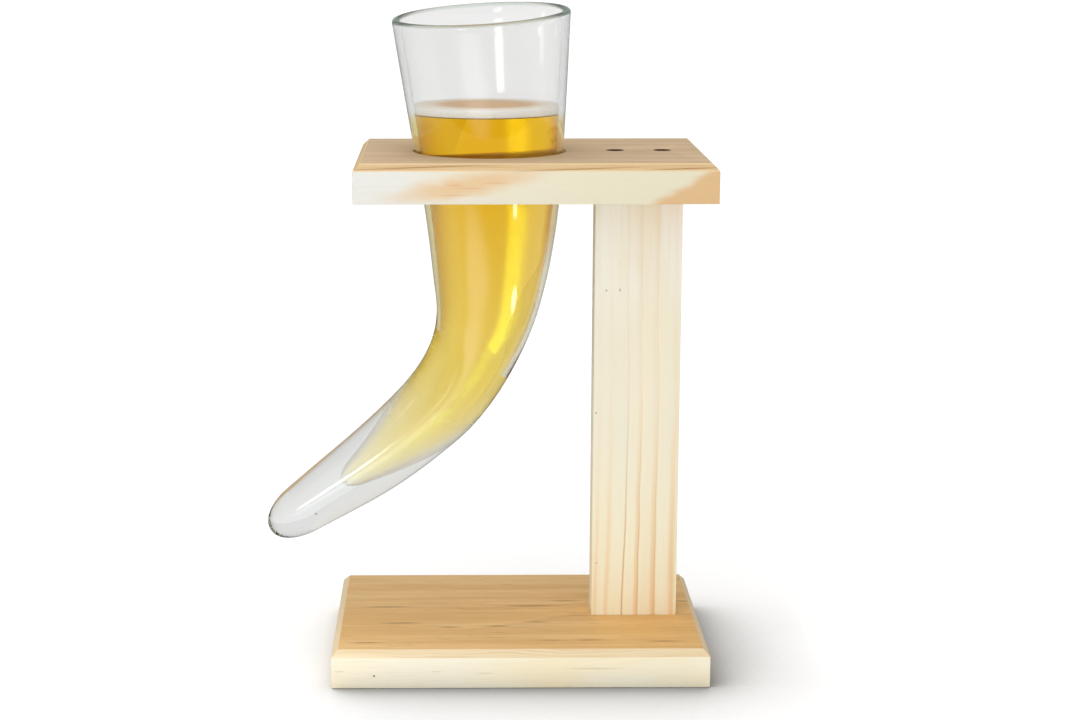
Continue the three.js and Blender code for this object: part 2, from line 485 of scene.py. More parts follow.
def level_off(piece, height, keep_above):
    """Cuts a form at a level and closes it there."""
    work_on(piece, "FACE")
    bpy.ops.mesh.select_all(action="SELECT")
    bpy.ops.mesh.bisect(
        plane_co=(0, 0, height * MM), plane_no=(0, 0, 1), use_fill=True,
        clear_inner=keep_above, clear_outer=not keep_above,
    )
    put_down_everything()


def make_beer():
    beer = drink_column("beer")
    level_off(beer, BEER_LEVEL, False)
    smooth_under(beer, DRINK_SHARP_ANGLE)
    return beer


def make_foam():
    foam = drink_column("beer_foam")
    level_off(foam, BEER_LEVEL + FOAM_GAP, True)
    level_off(foam, FOAM_LEVEL, False)
    soften_edges(foam, FOAM_SOFTNESS, DRINK_SHARP_ANGLE)
    return foam


# Node helpers

def tone(red, green, blue):
    """A colour from its screen values of 0 to 255."""
    channels = []
    for value in (red, green, blue):
        share = value / 255
        channels.append(share / 12.92 if share <= 0.04045 else ((share + 0.055) / 1.055) ** 2.4)
    return (*channels, 1)


def plug(tree, node, sockets):
    """Links or sets a node's sockets, given by name or number."""
    for key, value in sockets.items():
        target = node.inputs[key]
        if isinstance(value, bpy.types.NodeSocket):
            tree.links.new(value, target)
        else:
            target.default_value = value


def put(tree, kind, sockets=None, **settings):
    """Places a node with its settings and sockets."""
    made = tree.nodes.new(kind)
    for key, value in settings.items():
        setattr(made, key, value)
    plug(tree, made, sockets or {})
    return made


def calc(tree, operation, first, second=0.0, clamp=False):
    node = put(tree, "ShaderNodeMath", {0: first, 1: second}, operation=operation, use_clamp=clamp)
    return node.outputs[0]


def times(tree, first, *others):
    """The product of values."""
    product = first
    for other in others:
        product = calc(tree, "MULTIPLY", product, other)
    return product


def fade(tree, value, start, end, to_start=0.0, to_end=1.0):
    """A smooth step of a value from start to end."""
    node = put(
        tree, "ShaderNodeMapRange",
        {"Value": value, "From Min": start, "From Max": end, "To Min": to_start, "To Max": to_end},
        interpolation_type="SMOOTHSTEP",
    )
    return node.outputs[0]


def tint(tree, factor, under, over, blend="MIX"):
    node = put(tree, "ShaderNodeMix", {0: factor, 6: under, 7: over}, data_type="RGBA", blend_type=blend)
    return node.outputs[2]


def weigh(tree, factor, under, over):
    """A value between two others."""
    return put(tree, "ShaderNodeMix", {0: factor, 2: under, 3: over}).outputs[0]


def stretch(tree, place, scale):
    node = put(tree, "ShaderNodeVectorMath", {0: place, 1: scale}, operation="MULTIPLY")
    return node.outputs[0]


def offset_from(tree, place, centre):
    node = put(tree, "ShaderNodeVectorMath", {0: place, 1: centre}, operation="SUBTRACT")
    return node.outputs[0]


def length_of(tree, vector):
    return put(tree, "ShaderNodeVectorMath", {0: vector}, operation="LENGTH").outputs["Value"]


def split(tree, place):
    return put(tree, "ShaderNodeSeparateXYZ", {0: place}).outputs


def join(tree, x=0.0, y=0.0, z=0.0):
    return put(tree, "ShaderNodeCombineXYZ", {0: x, 1: y, 2: z}).outputs[0]


def speckle(tree, place, scale, detail, roughness=0.5):
    """Noise between 0 and 1 over a stretched place."""
    node = put(
        tree, "ShaderNodeTexNoise",
        {"Vector": stretch(tree, place, scale), "Scale": 1.0, "Detail": detail, "Roughness": roughness},
    )
    return node.outputs["Fac"]


def emboss(tree, shader, height, strength, depth, invert=False):
    """A shallow relief on the surface."""
    bump = put(
        tree, "ShaderNodeBump", {"Strength": strength, "Distance": depth * MM, "Height": height},
        invert=invert,
    )
    plug(tree, shader, {"Normal": bump.outputs[0]})


def tint_body(tree, colour, density):
    """Colours the light on its way through a see-through piece."""
    body = put(tree, "ShaderNodeVolumeAbsorption", {"Color": colour, "Density": density})
    output = next(node for node in tree.nodes if node.bl_idname == "ShaderNodeOutputMaterial")
    plug(tree, output, {"Volume": body.outputs[0]})


def new_group(name, inputs, outputs):
    """An empty shader group with named sockets, given as (name, kind)."""
    group = bpy.data.node_groups.new(name, "ShaderNodeTree")
    for socket_name, kind in inputs:
        group.interface.new_socket(name=socket_name, in_out="INPUT", socket_type=kind)
    for socket_name, kind in outputs:
        group.interface.new_socket(name=socket_name, in_out="OUTPUT", socket_type=kind)
    start = group.nodes.new("NodeGroupInput")
    end = group.nodes.new("NodeGroupOutput")
    return group, start.outputs, end.inputs


def use_group(tree, group, **sockets):
    named = {key.replace("_", " "): value for key, value in sockets.items()}
    return put(tree, "ShaderNodeGroup", named, node_tree=group).outputs


def bare_material(name):
    """A material with no nodes yet."""
    material = bpy.data.materials.new(name)
    material.use_nodes = True
    material.node_tree.nodes.clear()
    return material, material.node_tree


def new_finish(name):
    """A material with its shader, and the place on the piece in millimetres."""
    material, tree = bare_material(name)
    shader = put(tree, "ShaderNodeBsdfPrincipled")
    put(tree, "ShaderNodeOutputMaterial", {"Surface": shader.outputs[0]})
    coordinates = put(tree, "ShaderNodeTexCoord")
    place = stretch(tree, coordinates.outputs["Object"], (1000, 1000, 1000))
    return material, tree, shader, place


# Wood effects that the boards share. In these the grain runs along the first axis of the place.

VALUE = "NodeSocketFloat"
VECTOR = "NodeSocketVector"
GRAIN_SWAY = 5.0
ROUGHEST_WOOD = 0.68


def sway(tree, noise):
    """A noise of 0 to 1 as a shift to both sides."""
    return times(tree, calc(tree, "SUBTRACT", noise, 0.5), GRAIN_SWAY)


def make_pine_fibre():
    """Fine fibres, soft bands, short resin dashes and blotches, along wandering grain."""
    group, given, wanted = new_group(
        "pine_fibre",
        [("Place", VECTOR)],
        [("Fibre", VALUE), ("Band", VALUE), ("Dash", VALUE), ("Blotch", VALUE)],
    )
    place = given["Place"]
    drift = sway(group, speckle(group, place, (0.02, 0.045, 0.045), 2.0))
    offset = join(group, y=drift, z=drift)
    moved = put(group, "ShaderNodeVectorMath", {0: place, 1: offset}, operation="ADD").outputs[0]
    dashes = speckle(group, moved, (0.045, 0.62, 0.62), 1.0)
    group.links.new(speckle(group, moved, (0.022, 1.7, 1.7), 4.0, 0.65), wanted["Fibre"])
    group.links.new(speckle(group, moved, (0.006, 0.14, 0.14), 2.0), wanted["Band"])
    group.links.new(fade(group, dashes, 0.64, 0.8), wanted["Dash"])
    group.links.new(speckle(group, place, (0.014, 0.03, 0.03), 3.0), wanted["Blotch"])
    return group


def make_grain_streak():
    """A soft mark round a centre, with its own half-lengths along the three axes."""
    group, given, wanted = new_group(
        "grain_streak",
        [("Place", VECTOR), ("Centre", VECTOR), ("Reach", VECTOR), ("Core", VALUE)],
        [("Mask", VALUE)],
    )
    away = offset_from(group, given["Place"], given["Centre"])
    share = put(group, "ShaderNodeVectorMath", {0: away, 1: given["Reach"]}, operation="DIVIDE").outputs[0]
    group.links.new(fade(group, length_of(group, share), 1.0, given["Core"]), wanted["Mask"])
    return group


def make_end_rings():
    """Year rings round a pith that lies along the grain."""
    group, given, wanted = new_group(
        "end_rings", [("Place", VECTOR), ("Pith", VECTOR), ("Spacing", VALUE)], [("Ring", VALUE)],
    )
    away = offset_from(group, given["Place"], given["Pith"])
    radius = length_of(group, stretch(group, away, (0, 1, 1)))
    wobble = times(group, speckle(group, given["Place"], (0.01, 0.05, 0.05), 2.0), 4.0)
    turns = calc(group, "DIVIDE", calc(group, "ADD", radius, wobble), given["Spacing"])
    saw = calc(group, "FRACT", turns)
    late = fade(group, saw, 0.35, 0.92)
    early = fade(group, saw, 1.0, 0.93)
    group.links.new(times(group, late, early), wanted["Ring"])
    return group


def make_board_faces():
    """Which part of a chamfered board a height lies on: its top face or its chamfer."""
    group, given, wanted = new_group(
        "board_faces",
        [("Height", VALUE), ("Shoulder", VALUE), ("Top", VALUE)],
        [("Top Face", VALUE), ("Chamfer", VALUE)],
    )
    under_top = calc(group, "SUBTRACT", given["Top"], 0.3)
    near_top = calc(group, "SUBTRACT", given["Top"], 0.1)
    under_shoulder = calc(group, "SUBTRACT", given["Shoulder"], 0.2)
    top_face = fade(group, given["Height"], under_top, near_top)
    over_shoulder = fade(group, given["Height"], under_shoulder, given["Shoulder"])
    chamfer = calc(group, "SUBTRACT", over_shoulder, top_face, True)
    group.links.new(top_face, wanted["Top Face"])
    group.links.new(chamfer, wanted["Chamfer"])
    return group


pine_fibre = make_pine_fibre()
grain_streak = make_grain_streak()
end_rings = make_end_rings()
board_faces = make_board_faces()


def streak(tree, place, centre, reach, core):
    return use_group(tree, grain_streak, Place=place, Centre=centre, Reach=reach, Core=core)["Mask"]


def strongest(tree, masks):
    """The greatest of several masks."""
    total = masks[0]
    for mask in masks[1:]:
        total = calc(tree, "MAXIMUM", total, mask)
    return total


def streaks(tree, place, core, marks):
    """The greatest of several soft marks, each given as its centre and reach."""
    return strongest(tree, [streak(tree, place, centre, reach, core) for centre, reach in marks])


def plane_surface(tree, shader, fibre, dents, rough_low):
    """Planed wood: roughness and a shallow relief from its fibres and marks."""
    plug(tree, shader, {"Roughness": fade(tree, fibre, 0.3, 0.7, rough_low, ROUGHEST_WOOD)})
    relief = calc(tree, "SUBTRACT", fibre, times(tree, dents, 0.6))
    emboss(tree, shader, relief, 0.25, 0.12)


def end_grain(tree, place, x, low, high, pith, spacing):
    """Year rings on the two end faces of a board."""
    left = fade(tree, x, low + 0.25, low + 0.1)
    right = fade(tree, x, high - 0.25, high - 0.1)
    rings = use_group(tree, end_rings, Place=place, Pith=pith, Spacing=spacing)["Ring"]
    shown = calc(tree, "ADD", times(tree, rings, 0.6), 0.25)
    return times(tree, calc(tree, "MAXIMUM", left, right), shown)


def year_bands(tree, place, bands):
    """The greatest of several bands along the grain, each given as its middle, half width and strength."""
    masks = []
    for middle, half_width, strength in bands:
        band = streak(tree, place, (middle, 0, 0), (half_width, 1, 1), 0.0)
        masks.append(times(tree, band, strength))
    return strongest(tree, masks)


def make_pine_base():
    material, tree, shader, place = new_finish("pine_base")
    fibres = use_group(tree, pine_fibre, Place=place)
    x, _, z = split(tree, place)
    front = BASE_LOW.y
    top = BASE_HIGH.z
    faces = use_group(tree, board_faces, Height=z, Shoulder=top - EDGE_CHAMFER, Top=top)

    # Front, sides and underside: cream, with faint lines and a pin knot
    cream = tint(tree, fade(tree, fibres["Blotch"], 0.35, 0.68), tone(250, 243, 220), tone(252, 238, 203))
    cream = tint(tree, fade(tree, fibres["Fibre"], 0.5, 0.75, 0.0, 0.35), cream, tone(228, 208, 168))
    faint = streaks(tree, place, 0.1, [
        ((35, front, 9.6), (20, 4, 0.7)),
        ((-86, front, 8.5), (4, 4, 0.6)),
        ((-40, front, 8.3), (4.5, 4, 0.5)),
        ((-17, front, 7.4), (7, 4, 0.5)),
    ])
    cream = tint(tree, times(tree, faint, 0.5), cream, tone(214, 194, 146))
    knot = streak(tree, place, (-69.6, front, 6.2), (0.75, 1.5, 0.75), 0.4)
    cream = tint(tree, knot, cream, tone(150, 120, 70))
    ends = end_grain(tree, place, x, BASE_LOW.x, BASE_HIGH.x, (0, 14, -38), 3.4)
    cream = tint(tree, ends, cream, tone(214, 172, 112))

    # Top face: tan with painted shade that makes it darker than the front, short dark grain marks, and warmer
    # at the post
    shaded_top = tint(tree, fade(tree, fibres["Band"], 0.36, 0.64), tone(222, 177, 114), tone(234, 194, 134))
    warm = streak(tree, place, (66, -28, top), (58, 46, 8), 0.0)
    shaded_top = tint(tree, times(tree, warm, 0.7), shaded_top, tone(225, 174, 96))
    shaded_top = tint(tree, fade(tree, fibres["Fibre"], 0.48, 0.78, 0.0, 0.45), shaded_top, tone(176, 134, 80))
    marks = streaks(tree, place, 0.1, [
        ((7, 6, top), (24, 1.6, 4)),
        ((-58, -20.5, top), (14, 1.3, 4)),
        ((-34, -27, top), (8, 1.4, 4)),
        ((-10.5, -25.5, top), (9, 1.5, 4)),
        ((34, -47, top), (12, 1.3, 4)),
        ((-65, 5, top), (20, 1.6, 4)),
        ((-74, -50, top), (12, 1.4, 4)),
        ((24, 14, top), (12, 1.4, 4)),
        ((9, -19.6, top), (9, 1.2, 4)),
        ((69, -49, top), (13, 1.2, 4)),
    ])
    darker = strongest(tree, [times(tree, fibres["Dash"], 0.45), times(tree, marks, 0.7)])
    shaded_top = tint(tree, darker, shaded_top, tone(140, 98, 54))
    hairline = streak(tree, place, (84, 13, top), (6, 0.8, 4), 0.3)
    shaded_top = tint(tree, hairline, shaded_top, tone(98, 66, 36))

    # Chamfer: a tone between the two, with painted shade as on the top face
    chamfer_shading = tint(tree, fade(tree, fibres["Fibre"], 0.4, 0.7), tone(232, 212, 174), tone(222, 194, 148))
    colour = tint(tree, faces["Chamfer"], cream, chamfer_shading)
    colour = tint(tree, faces["Top Face"], colour, shaded_top)
    plug(tree, shader, {"Base Color": colour})
    plane_surface(tree, shader, fibres["Fibre"], darker, 0.5)
    return material


def make_pine_shelf():
    material, tree, shader, place = new_finish("pine_shelf")
    fibres = use_group(tree, pine_fibre, Place=place)
    x, _, z = split(tree, place)
    front = SHELF_LOW.y
    top = SHELF_HIGH.z
    faces = use_group(tree, board_faces, Height=z, Shoulder=top - EDGE_CHAMFER, Top=top)

    # Front, sides and underside: whitish at the left, greenish cream at the right, a warm flame between
    pale = tint(tree, fade(tree, x, -62, -20), tone(228, 227, 220), tone(229, 222, 198))
    pale = tint(tree, fade(tree, x, 0, 30), pale, tone(228, 221, 194))
    pale = tint(tree, fade(tree, fibres["Fibre"], 0.5, 0.78, 0.0, 0.3), pale, tone(224, 206, 168))
    lift = sway(tree, speckle(tree, place, (0.1, 0.1, 0.24), 1.0))
    slanted = calc(tree, "SUBTRACT", calc(tree, "ADD", z, lift), times(tree, x, 0.17))
    flame = streak(tree, join(tree, x=x, z=slanted), (-25, 0, 243.5), (49, 60, 7.4), 0.2)
    pale = tint(tree, times(tree, flame, 0.8), pale, tone(227, 188, 136))
    blush = streak(tree, place, (-20, front, 232.6), (17, 6, 2.2), 0.2)
    pale = tint(tree, times(tree, blush, 0.6), pale, tone(230, 219, 208))
    licks = streaks(tree, place, 0.0, [
        ((-24.8, front, 237.9), (13, 6, 0.6)),
        ((-31.3, front, 234.7), (12, 6, 0.55)),
        ((-30.5, front, 239.2), (6, 6, 1.1)),
        ((-12, front, 240.4), (9, 6, 0.7)),
    ])
    pale = tint(tree, times(tree, licks, 0.42), pale, tone(214, 158, 106))

    # A stain in the lower right corner
    stain_edge = times(tree, calc(tree, "SUBTRACT", x, 54), 0.42)
    corner = calc(tree, "SUBTRACT", stain_edge, calc(tree, "SUBTRACT", slanted, 220.0))
    stain = fade(tree, corner, -1.0, 5.0)
    pale = tint(tree, times(tree, stain, 0.8), pale, tone(222, 174, 112))
    ends = end_grain(tree, place, x, SHELF_LOW.x, SHELF_HIGH.x, (0, -20, 196), 3.8)
    pale = tint(tree, ends, pale, tone(212, 168, 110))

    # Top face: pinkish tan, with painted shade that makes it darker than the front
    shaded_top = tint(tree, fade(tree, fibres["Band"], 0.36, 0.64), tone(211, 180, 141), tone(219, 191, 154))
    shaded_top = tint(tree, fade(tree, fibres["Fibre"], 0.5, 0.78, 0.0, 0.4), shaded_top, tone(178, 140, 100))
    darker = times(tree, fibres["Dash"], 0.3)
    shaded_top = tint(tree, darker, shaded_top, tone(150, 110, 70))

    # Chamfer: tan with painted shade as on the top face, painted highlights along both its edges, and long
    # brown grain lines
    chamfer_shading = tint(tree, fade(tree, fibres["Fibre"], 0.4, 0.7), tone(218, 188, 141), tone(202, 168, 119))
    line_place = join(tree, x=x, z=calc(tree, "SUBTRACT", z, times(tree, x, 0.03)))
    lines = streaks(tree, line_place, 0.1, [
        ((-46, 0, 248.65), (50, 1, 0.42)),
        ((24, 0, 245.75), (44, 1, 0.42)),
        ((74, 0, 244.4), (26, 1, 0.4)),
    ])
    # Painted highlights along the chamfer's upper and lower edges
    chamfer_shading = tint(tree, fade(tree, z, 248.2, 248.8, 0.0, 0.75), chamfer_shading, tone(246, 220, 172))
    chamfer_shading = tint(tree, fade(tree, z, 246.3, 245.8, 0.0, 0.6), chamfer_shading, tone(240, 218, 178))
    chamfer_shading = tint(tree, times(tree, lines, 0.8), chamfer_shading, tone(160, 112, 62))
    colour = tint(tree, faces["Chamfer"], pale, chamfer_shading)
    colour = tint(tree, faces["Top Face"], colour, shaded_top)

    # Screw recesses: painted shade, dark brown down inside them
    mark = RECESS_RADIUS + 0.4
    recess_floor = top - SHELF_RECESS
    recesses = streaks(
        tree, stretch(tree, place, (1, 1, 0)), 0.94,
        [((screw_x, 0, 0), (mark, mark, 1)) for screw_x in SCREW_XS],
    )
    recess_shade = times(tree, recesses, fade(tree, z, recess_floor - 0.5, recess_floor + 0.2))
    colour = tint(tree, recess_shade, colour, tone(62, 38, 22))
    plug(tree, shader, {"Base Color": colour})
    plane_surface(tree, shader, fibres["Fibre"], darker, 0.5)
    return material


def make_pine_post():
    material, tree, shader, place = new_finish("pine_post")
    turned = put(tree, "ShaderNodeMapping", {"Vector": place, "Rotation": (0, math.pi / 2, 0)}).outputs[0]
    fibres = use_group(tree, pine_fibre, Place=turned)
    x, _, z = split(tree, place)
    front = POST_LOW.y

    # Pale cream at the top, as painted light against the shade under the shelf, yellower towards the foot,
    # with upright year bands that show most at the foot
    cream = tint(tree, fade(tree, z, 210, 150), tone(253, 250, 238), tone(237, 231, 209))
    cream = tint(tree, fade(tree, z, 120, 35), cream, tone(247, 241, 213))
    cream = tint(tree, fade(tree, fibres["Band"], 0.4, 0.66, 0.0, 0.5), cream, tone(244, 232, 202))
    cream = tint(tree, fade(tree, fibres["Fibre"], 0.52, 0.8, 0.0, 0.3), cream, tone(226, 202, 158))
    wander = sway(tree, speckle(tree, place, (0.03, 0.03, 0.011), 2.0))
    band_place = join(tree, x=calc(tree, "ADD", x, wander))
    wide = year_bands(tree, band_place, [
        (44.6, 1.9, 0.55),
        (58.8, 1.5, 0.9),
        (66.8, 2.2, 1.0),
        (76.0, 2.6, 1.0),
        (39.0, 1.4, 0.5),
    ])
    strength = fade(tree, z, 150, 25, 0.14, 0.75)
    cream = tint(tree, times(tree, wide, strength), cream, tone(238, 198, 138))
    thin = year_bands(tree, band_place, [(52.8, 0.7, 1.0), (59.6, 0.6, 0.8), (67.6, 0.6, 0.6)])
    cream = tint(tree, times(tree, thin, strength), cream, tone(206, 158, 96))
    specks = streaks(tree, place, 0.3, [
        ((42.2, front, 182.2), (0.7, 2, 0.7)),
        ((48.7, front, 182.4), (0.6, 2, 1.2)),
        ((37.9, front, 121.6), (0.7, 2, 0.7)),
        ((38.8, front, 45.5), (0.6, 2, 0.6)),
    ])
    cream = tint(tree, times(tree, specks, 0.6), cream, tone(150, 120, 84))
    plug(tree, shader, {"Base Color": cream})
    plane_surface(tree, shader, fibres["Fibre"], thin, 0.52)
    return material


def make_screw_zinc():
    material, tree, shader, place = new_finish("screw_zinc")
    dull = speckle(tree, place, (1.2, 1.2, 1.2), 3.0)
    plug(tree, shader, {
        "Base Color": tint(tree, fade(tree, dull, 0.35, 0.7), tone(120, 100, 74), tone(74, 60, 46)),
        "Roughness": fade(tree, dull, 0.3, 0.7, 0.32, 0.55),
        "Metallic": 0.9,
    })
    emboss(tree, shader, dull, 0.2, 0.05)
    return material


# Glass and drink

GLASS_IOR = 1.47
GLASS_BODY = (0.72, 0.86, 0.80, 1)
GLASS_DENSITY = 5.0
BEER_IOR = 1.34
BEER_BODY = (0.99, 0.834, 0.03, 1)
BEER_DENSITY = 50.0
FOAM_MIDDLE = (-15.6, -1.7, 0)


def make_clear_glass():
    material, tree, shader, place = new_finish("clear_glass")
    grazing = put(tree, "ShaderNodeLayerWeight", {"Blend": 0.5}).outputs["Facing"]

    # Painted reflection of the drink's colour in the wall beside it: amber in the cup and on the left, cream
    # low on the right
    x, _, z = split(tree, place)
    curve = times(tree, calc(tree, "SUBTRACT", SEAT.z, z), 0.13)
    to_right = calc(tree, "ADD", curve, calc(tree, "ADD", x, 15.0))
    right = tint(tree, fade(tree, z, 215, 185), tone(226, 184, 108), tone(253, 242, 206))
    painted_drink_reflection = tint(tree, fade(tree, to_right, -4, 4), tone(234, 209, 124), right)
    at_drink = times(tree, fade(tree, z, BEER_LEVEL + 3, BEER_LEVEL - 5), fade(tree, z, 105, 140))
    golden = times(tree, at_drink, fade(tree, z, 222, 240, 0.12, 0.45))
    colour = tint(tree, golden, (0.985, 0.981, 0.976, 1), (0.985, 0.981, 0.4, 1))
    inward = fade(tree, to_right, -10, 10, 0.12, 0.42)
    beside_drink = times(tree, at_drink, fade(tree, grazing, inward, 0.66))
    colour = tint(tree, beside_drink, colour, painted_drink_reflection)

    # Painted shade where it is seen edge on: greyer, least so in the tail and under the lip
    edge = times(
        tree, fade(tree, grazing, 0.7, 1.0), fade(tree, z, 130, 200, 0.3, 1.0),
        fade(tree, z, 292, 306, 1.0, 0.2),
    )
    colour = tint(tree, edge, colour, tone(172, 164, 146))

    # Two tiny air bubbles in the tail
    bubble = streak(tree, place, (-100.1, 0.4, 68.3), (0.8, 2, 0.8), 0.3)
    faint_bubble = streak(tree, place, (-84.8, -3.2, 85.6), (0.9, 2, 0.6), 0.2)
    bubbles = strongest(tree, [bubble, times(tree, faint_bubble, 0.5)])
    colour = tint(tree, bubbles, colour, tone(120, 120, 116))

    # The fire-polished lip: painted shade, a little darker and greener, and softer
    upward = LEAN.to_matrix() @ Vector((0, 0, 1))
    over_seat = offset_from(tree, place, SEAT)
    height = put(tree, "ShaderNodeVectorMath", {0: over_seat, 1: upward}, operation="DOT_PRODUCT")
    lip = fade(tree, height.outputs["Value"], -STATIONS[0] - 0.3, -STATIONS[0] + 0.5)
    plug(tree, shader, {
        "Base Color": tint(tree, lip, colour, tone(220, 228, 220)),
        "Roughness": times(tree, lip, 0.55),
        "IOR": GLASS_IOR,
        "Transmission Weight": 1.0,
    })
    emboss(tree, shader, speckle(tree, place, (0.05, 0.05, 0.02), 1.0), 0.05, 0.4)
    tint_body(tree, GLASS_BODY, GLASS_DENSITY)
    return material


def make_golden_beer():
    material, tree, shader, place = new_finish("golden_beer")
    height = split(tree, place)[2]
    colour = tint(tree, fade(tree, height, 110, 170), (1, 1, 1, 1), (1, 0.985, 0.73, 1))
    colour = tint(tree, fade(tree, height, 205, 262), colour, (0.97, 0.9, 0.1, 1))
    # Painted shade at the drink's edges: brown where it is seen edge on, higher up
    grazing = put(tree, "ShaderNodeLayerWeight", {"Blend": 0.5}).outputs["Facing"]
    edge = times(tree, fade(tree, grazing, 0.75, 1.0), fade(tree, height, 140, 200))
    plug(tree, shader, {
        "Base Color": tint(tree, edge, colour, tone(150, 100, 30)),
        "Roughness": fade(tree, height, 146, 88, 0.0, 0.5),
        "IOR": BEER_IOR,
        "Transmission Weight": 1.0,
    })
    tint_body(tree, BEER_BODY, BEER_DENSITY)
    return material


def make_beer_froth():
    material, tree, shader, place = new_finish("beer_froth")
    bubbles = put(tree, "ShaderNodeTexVoronoi", {"Vector": place, "Scale": 1.3}, feature="SMOOTH_F1")
    fine = put(tree, "ShaderNodeTexVoronoi", {"Vector": place, "Scale": 3.0}, feature="SMOOTH_F1")
    cells = calc(tree, "ADD", bubbles.outputs["Distance"], times(tree, fine.outputs["Distance"], 0.5))
    z = split(tree, place)[2]
    side = tint(tree, fade(tree, cells, 0.2, 0.9), tone(252, 250, 246), tone(240, 236, 228))
    # Painted shade at the foam's foot: brown where it meets the beer
    side = tint(tree, fade(tree, z, BEER_LEVEL + 0.8, BEER_LEVEL + 0.2), side, tone(150, 116, 40))
    radius = length_of(tree, offset_from(tree, stretch(tree, place, (1, 1, 0)), FOAM_MIDDLE))
    top = tint(tree, fade(tree, radius, 17, 32), tone(208, 166, 116), tone(238, 228, 212))
    plug(tree, shader, {
        "Base Color": tint(tree, fade(tree, z, FOAM_LEVEL - 0.5, FOAM_LEVEL - 0.1), side, top),
        "Roughness": fade(tree, cells, 0.2, 1.0, 0.35, 0.6),
        "Subsurface Weight": 0.8,
        "Subsurface Radius": (1, 1, 1),
        "Subsurface Scale": 0.004,
    })
    emboss(tree, shader, cells, 0.4, 0.3, invert=True)
    return material


# Pieces

base_board = make_base_board()
post_board = make_post_board()
shelf_board = make_shelf_board()

shelf_grip = SHELF_HIGH.z - SHELF_LOW.z - SHELF_RECESS + FIT_GAP
base_grip = BASE_HIGH.z - BASE_RECESS + FIT_GAP
shelf_screw = make_screw("shelf_screw_left_turned", shelf_grip)
shelf_screw_twin = copy_piece(shelf_screw, "shelf_screw_right_turned")
base_screw = make_screw("base_screw_left_turned", base_grip)
base_screw_twin = copy_piece(base_screw, "base_screw_right_turned")
set_screw(shelf_screw, SCREW_XS[0], SHELF_LOW.z + shelf_grip, False)
set_screw(shelf_screw_twin, SCREW_XS[1], SHELF_LOW.z + shelf_grip, False)
set_screw(base_screw, SCREW_XS[0], BASE_HIGH.z - base_grip, True)
set_screw(base_screw_twin, SCREW_XS[1], BASE_HIGH.z - base_grip, True)

glass_horn = make_horn()
beer = make_beer()
beer_foam = make_foam()

screw_zinc = make_screw_zinc()
finish_piece(base_board, "stand", make_pine_base(), "pine_base", "base_plate")
finish_piece(post_board, "stand", make_pine_post(), "pine_post", "post")
finish_piece(shelf_board, "stand", make_pine_shelf(), "pine_shelf", "shelf_plate")
finish_piece(shelf_screw, "stand", screw_zinc, "screw_steel", "shelf_screw_left")
finish_piece(shelf_screw_twin, "stand", screw_zinc, "screw_steel", "shelf_screw_right")
finish_piece(base_screw, "stand", screw_zinc, "screw_steel", "base_screw_left")
finish_piece(base_screw_twin, "stand", screw_zinc, "screw_steel", "base_screw_right")
finish_piece(glass_horn, "glass", make_clear_glass(), "clear_glass", "horn_glass")
finish_piece(beer, "glass", make_golden_beer(), None)
finish_piece(beer_foam, "glass", make_beer_froth(), None)
for see_through in (glass_horn, beer, beer_foam):
    see_through.visible_shadow = False


# Stage

WHITE = (1, 1, 1, 1)
AMBER = (0.8, 1.9, 0.0, 1)
GLASS_MIDDLE = Vector((-0.014, 0, 0.2))
TO_THE_RIGHT = (0.2, 0.85)

# Floor: how white it is by itself, and as the glass shows it
FLOOR_SIZE = 60
FLOOR_WHITE = 0.96
FLOOR_LIFT = 0.13
FLOOR_THROUGH_GLASS = 0.87
FLOOR_THROUGH_RIGHT = 0.72
FLOOR_INSIDE_BACK = 0.8
FLOOR_INSIDE_FRONT = 0.08
FLOOR_MIRRORED = 0.16
CONTACT_LEAN = (-0.45, 0.5, 0.74)
CONTACT_REACH = 0.06
CONTACT_DEPTH = 1.3

# Studio light: how strong it is on the pieces, and as the glass shows it
STUDIO_FILL = 0.42
STUDIO_FRONT = 1.05
STUDIO_THROUGH_GLASS = 0.8
STUDIO_THROUGH_RIGHT = 0.66
STUDIO_MIRRORED = 0.3
STUDIO_INSIDE = 0.68
STUDIO_BEHIND_GLASS = 3.0

# Glass surfaces that light has crossed from a card: none, the walls alone, or the drink too
CROSSINGS = {"outside": (-0.5, 0.5), "walls": (2.5, 6.5), "drink": (6.5, 12.5)}

# Cards: how their light fades across them, and how high the pools lie over the floor
SOFT_SIDES = (2, 0, 0)
SOFT_ROUND = (2, 2, 0)
POOL_HEIGHT = 0.004

# Camera
CAMERA_PLACE = (-0.02962, -1.04917, 0.36098)
CAMERA_DIP = 0.2019
CAMERA_TURN = -0.0106
CAMERA_LENS = 72.955
CAMERA_SHIFT = 0.0552


